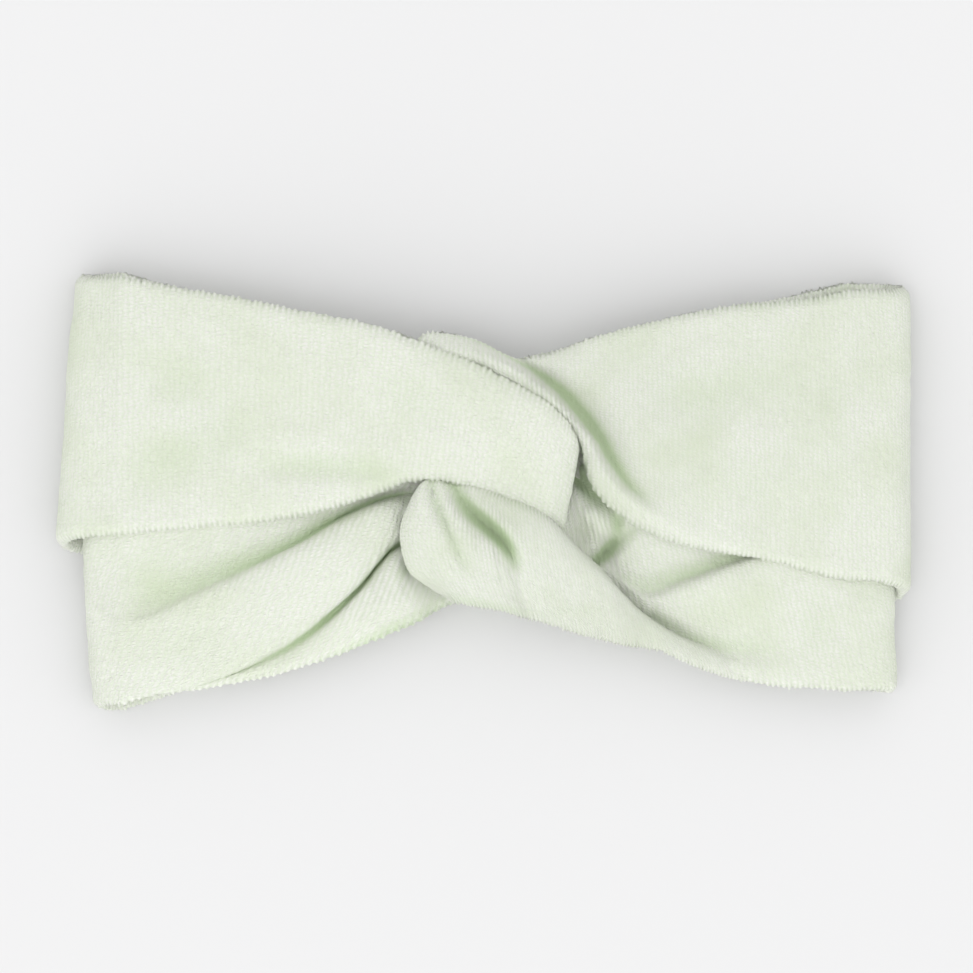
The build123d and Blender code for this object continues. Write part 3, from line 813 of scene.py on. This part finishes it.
def side_of(name):
    return name.split("_")[0]


def make_arm(name, build, side, seed):
    """An arm's three pieces: its front bends at the knot, its fold at the side, its back at the seam."""
    a = finish_surface(build(), seed)
    _, fold_row, back_row, end_row = a["cuts"]
    hand = side_of(name)
    front = tube_mesh(f"{name}_front", a, 0, fold_row)
    fold = tube_mesh(f"{name}_side_fold", a, fold_row, back_row)
    back = tube_mesh(f"{name}_back", a, back_row, end_row)
    for piece in (front, fold, back):
        piece.data.materials.append(TERRY)
    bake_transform(front)
    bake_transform(fold)
    if side < 0:
        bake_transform(back)
    else:
        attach(back, f"back_{hand}")
    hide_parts(f"{name}_arm_front")
    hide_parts(f"{name}_arm_back")
    return front, fold, back


for name, (build, side, seed) in ARMS.items():
    make_arm(name, build, side, seed)

turn = finish_surface(strand(), 71)
right_turn = tube_mesh("right_loop_strand", turn, 0, turn["cuts"][1])
right_turn.data.materials.append(TERRY)
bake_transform(right_turn)
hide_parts("right_loop_turn")
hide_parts("left_loop_turn")

ridge = seam_ridge()
stitches = seam_stitches()
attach(ridge, "back_seam")
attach(stitches, "back_seam")
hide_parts("back_seam_ridge")
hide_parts("back_seam_stitches")

for node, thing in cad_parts.items():
    if node.endswith("seam_front") or node.endswith("seam_back"):
        thing.data.materials.clear()
        thing.data.materials.append(ALLOWANCE)


# ---------------------------------------------------------------- floor, light and camera

FLOOR_Z = -0.0002
bpy.ops.mesh.primitive_plane_add(size=6, location=(0, 0, FLOOR_Z))
floor = bpy.context.object
floor.name = "floor"
floor.data.materials.append(floor_material())


def studio_world(level, lean):
    """Soft light from all round, a little stronger from the side of the lower edge."""
    world = bpy.data.worlds.new("studio")
    bpy.context.scene.world = world
    world.use_nodes = True
    tree = world.node_tree
    direction = tree.nodes.new("ShaderNodeTexCoord").outputs["Generated"]
    split = tree.nodes.new("ShaderNodeSeparateXYZ")
    tree.links.new(direction, split.inputs[0])
    slope = tree.nodes.new("ShaderNodeMath")
    slope.operation = "MULTIPLY_ADD"
    tree.links.new(split.outputs[1], slope.inputs[0])
    slope.inputs[1].default_value = -lean * level
    slope.inputs[2].default_value = level
    grey = tree.nodes.new("ShaderNodeCombineXYZ")
    for socket in grey.inputs:
        tree.links.new(slope.outputs[0], socket)
    tree.links.new(grey.outputs[0], tree.nodes["Background"].inputs["Color"])
    tree.nodes["Background"].inputs["Strength"].default_value = 1.0


studio_world(1.25, 0.24)


def soft_light(name, place, aim, size, power):
    data = bpy.data.lights.new(name, "AREA")
    data.shape = "SQUARE"
    data.size = size
    data.energy = power
    lamp = bpy.data.objects.new(name, data)
    lamp.location = place
    lamp.rotation_mode = "QUATERNION"
    lamp.rotation_quaternion = (Vector(aim) - Vector(place)).to_track_quat("-Z", "Y")
    bpy.context.scene.collection.objects.link(lamp)
    return lamp


soft_light("key", (-0.3, -0.32, 1.5), (0, 0, 0), 0.9, 2.5)

VIEW_WIDTH = 0.2141
LENS, SENSOR = 180.0, 36.0
camera_data = bpy.data.cameras.new("camera")
camera_data.lens = LENS
camera_data.sensor_width = SENSOR
camera = bpy.data.objects.new("camera", camera_data)
camera.location = (0.0008, 0.0010, 0.014 + VIEW_WIDTH * LENS / SENSOR)
camera.rotation_euler = (0, 0, 0)
camera_data.clip_end = 50
bpy.context.scene.collection.objects.link(camera)
bpy.context.scene.camera = camera
bpy.context.scene.view_settings.view_transform = "Standard"
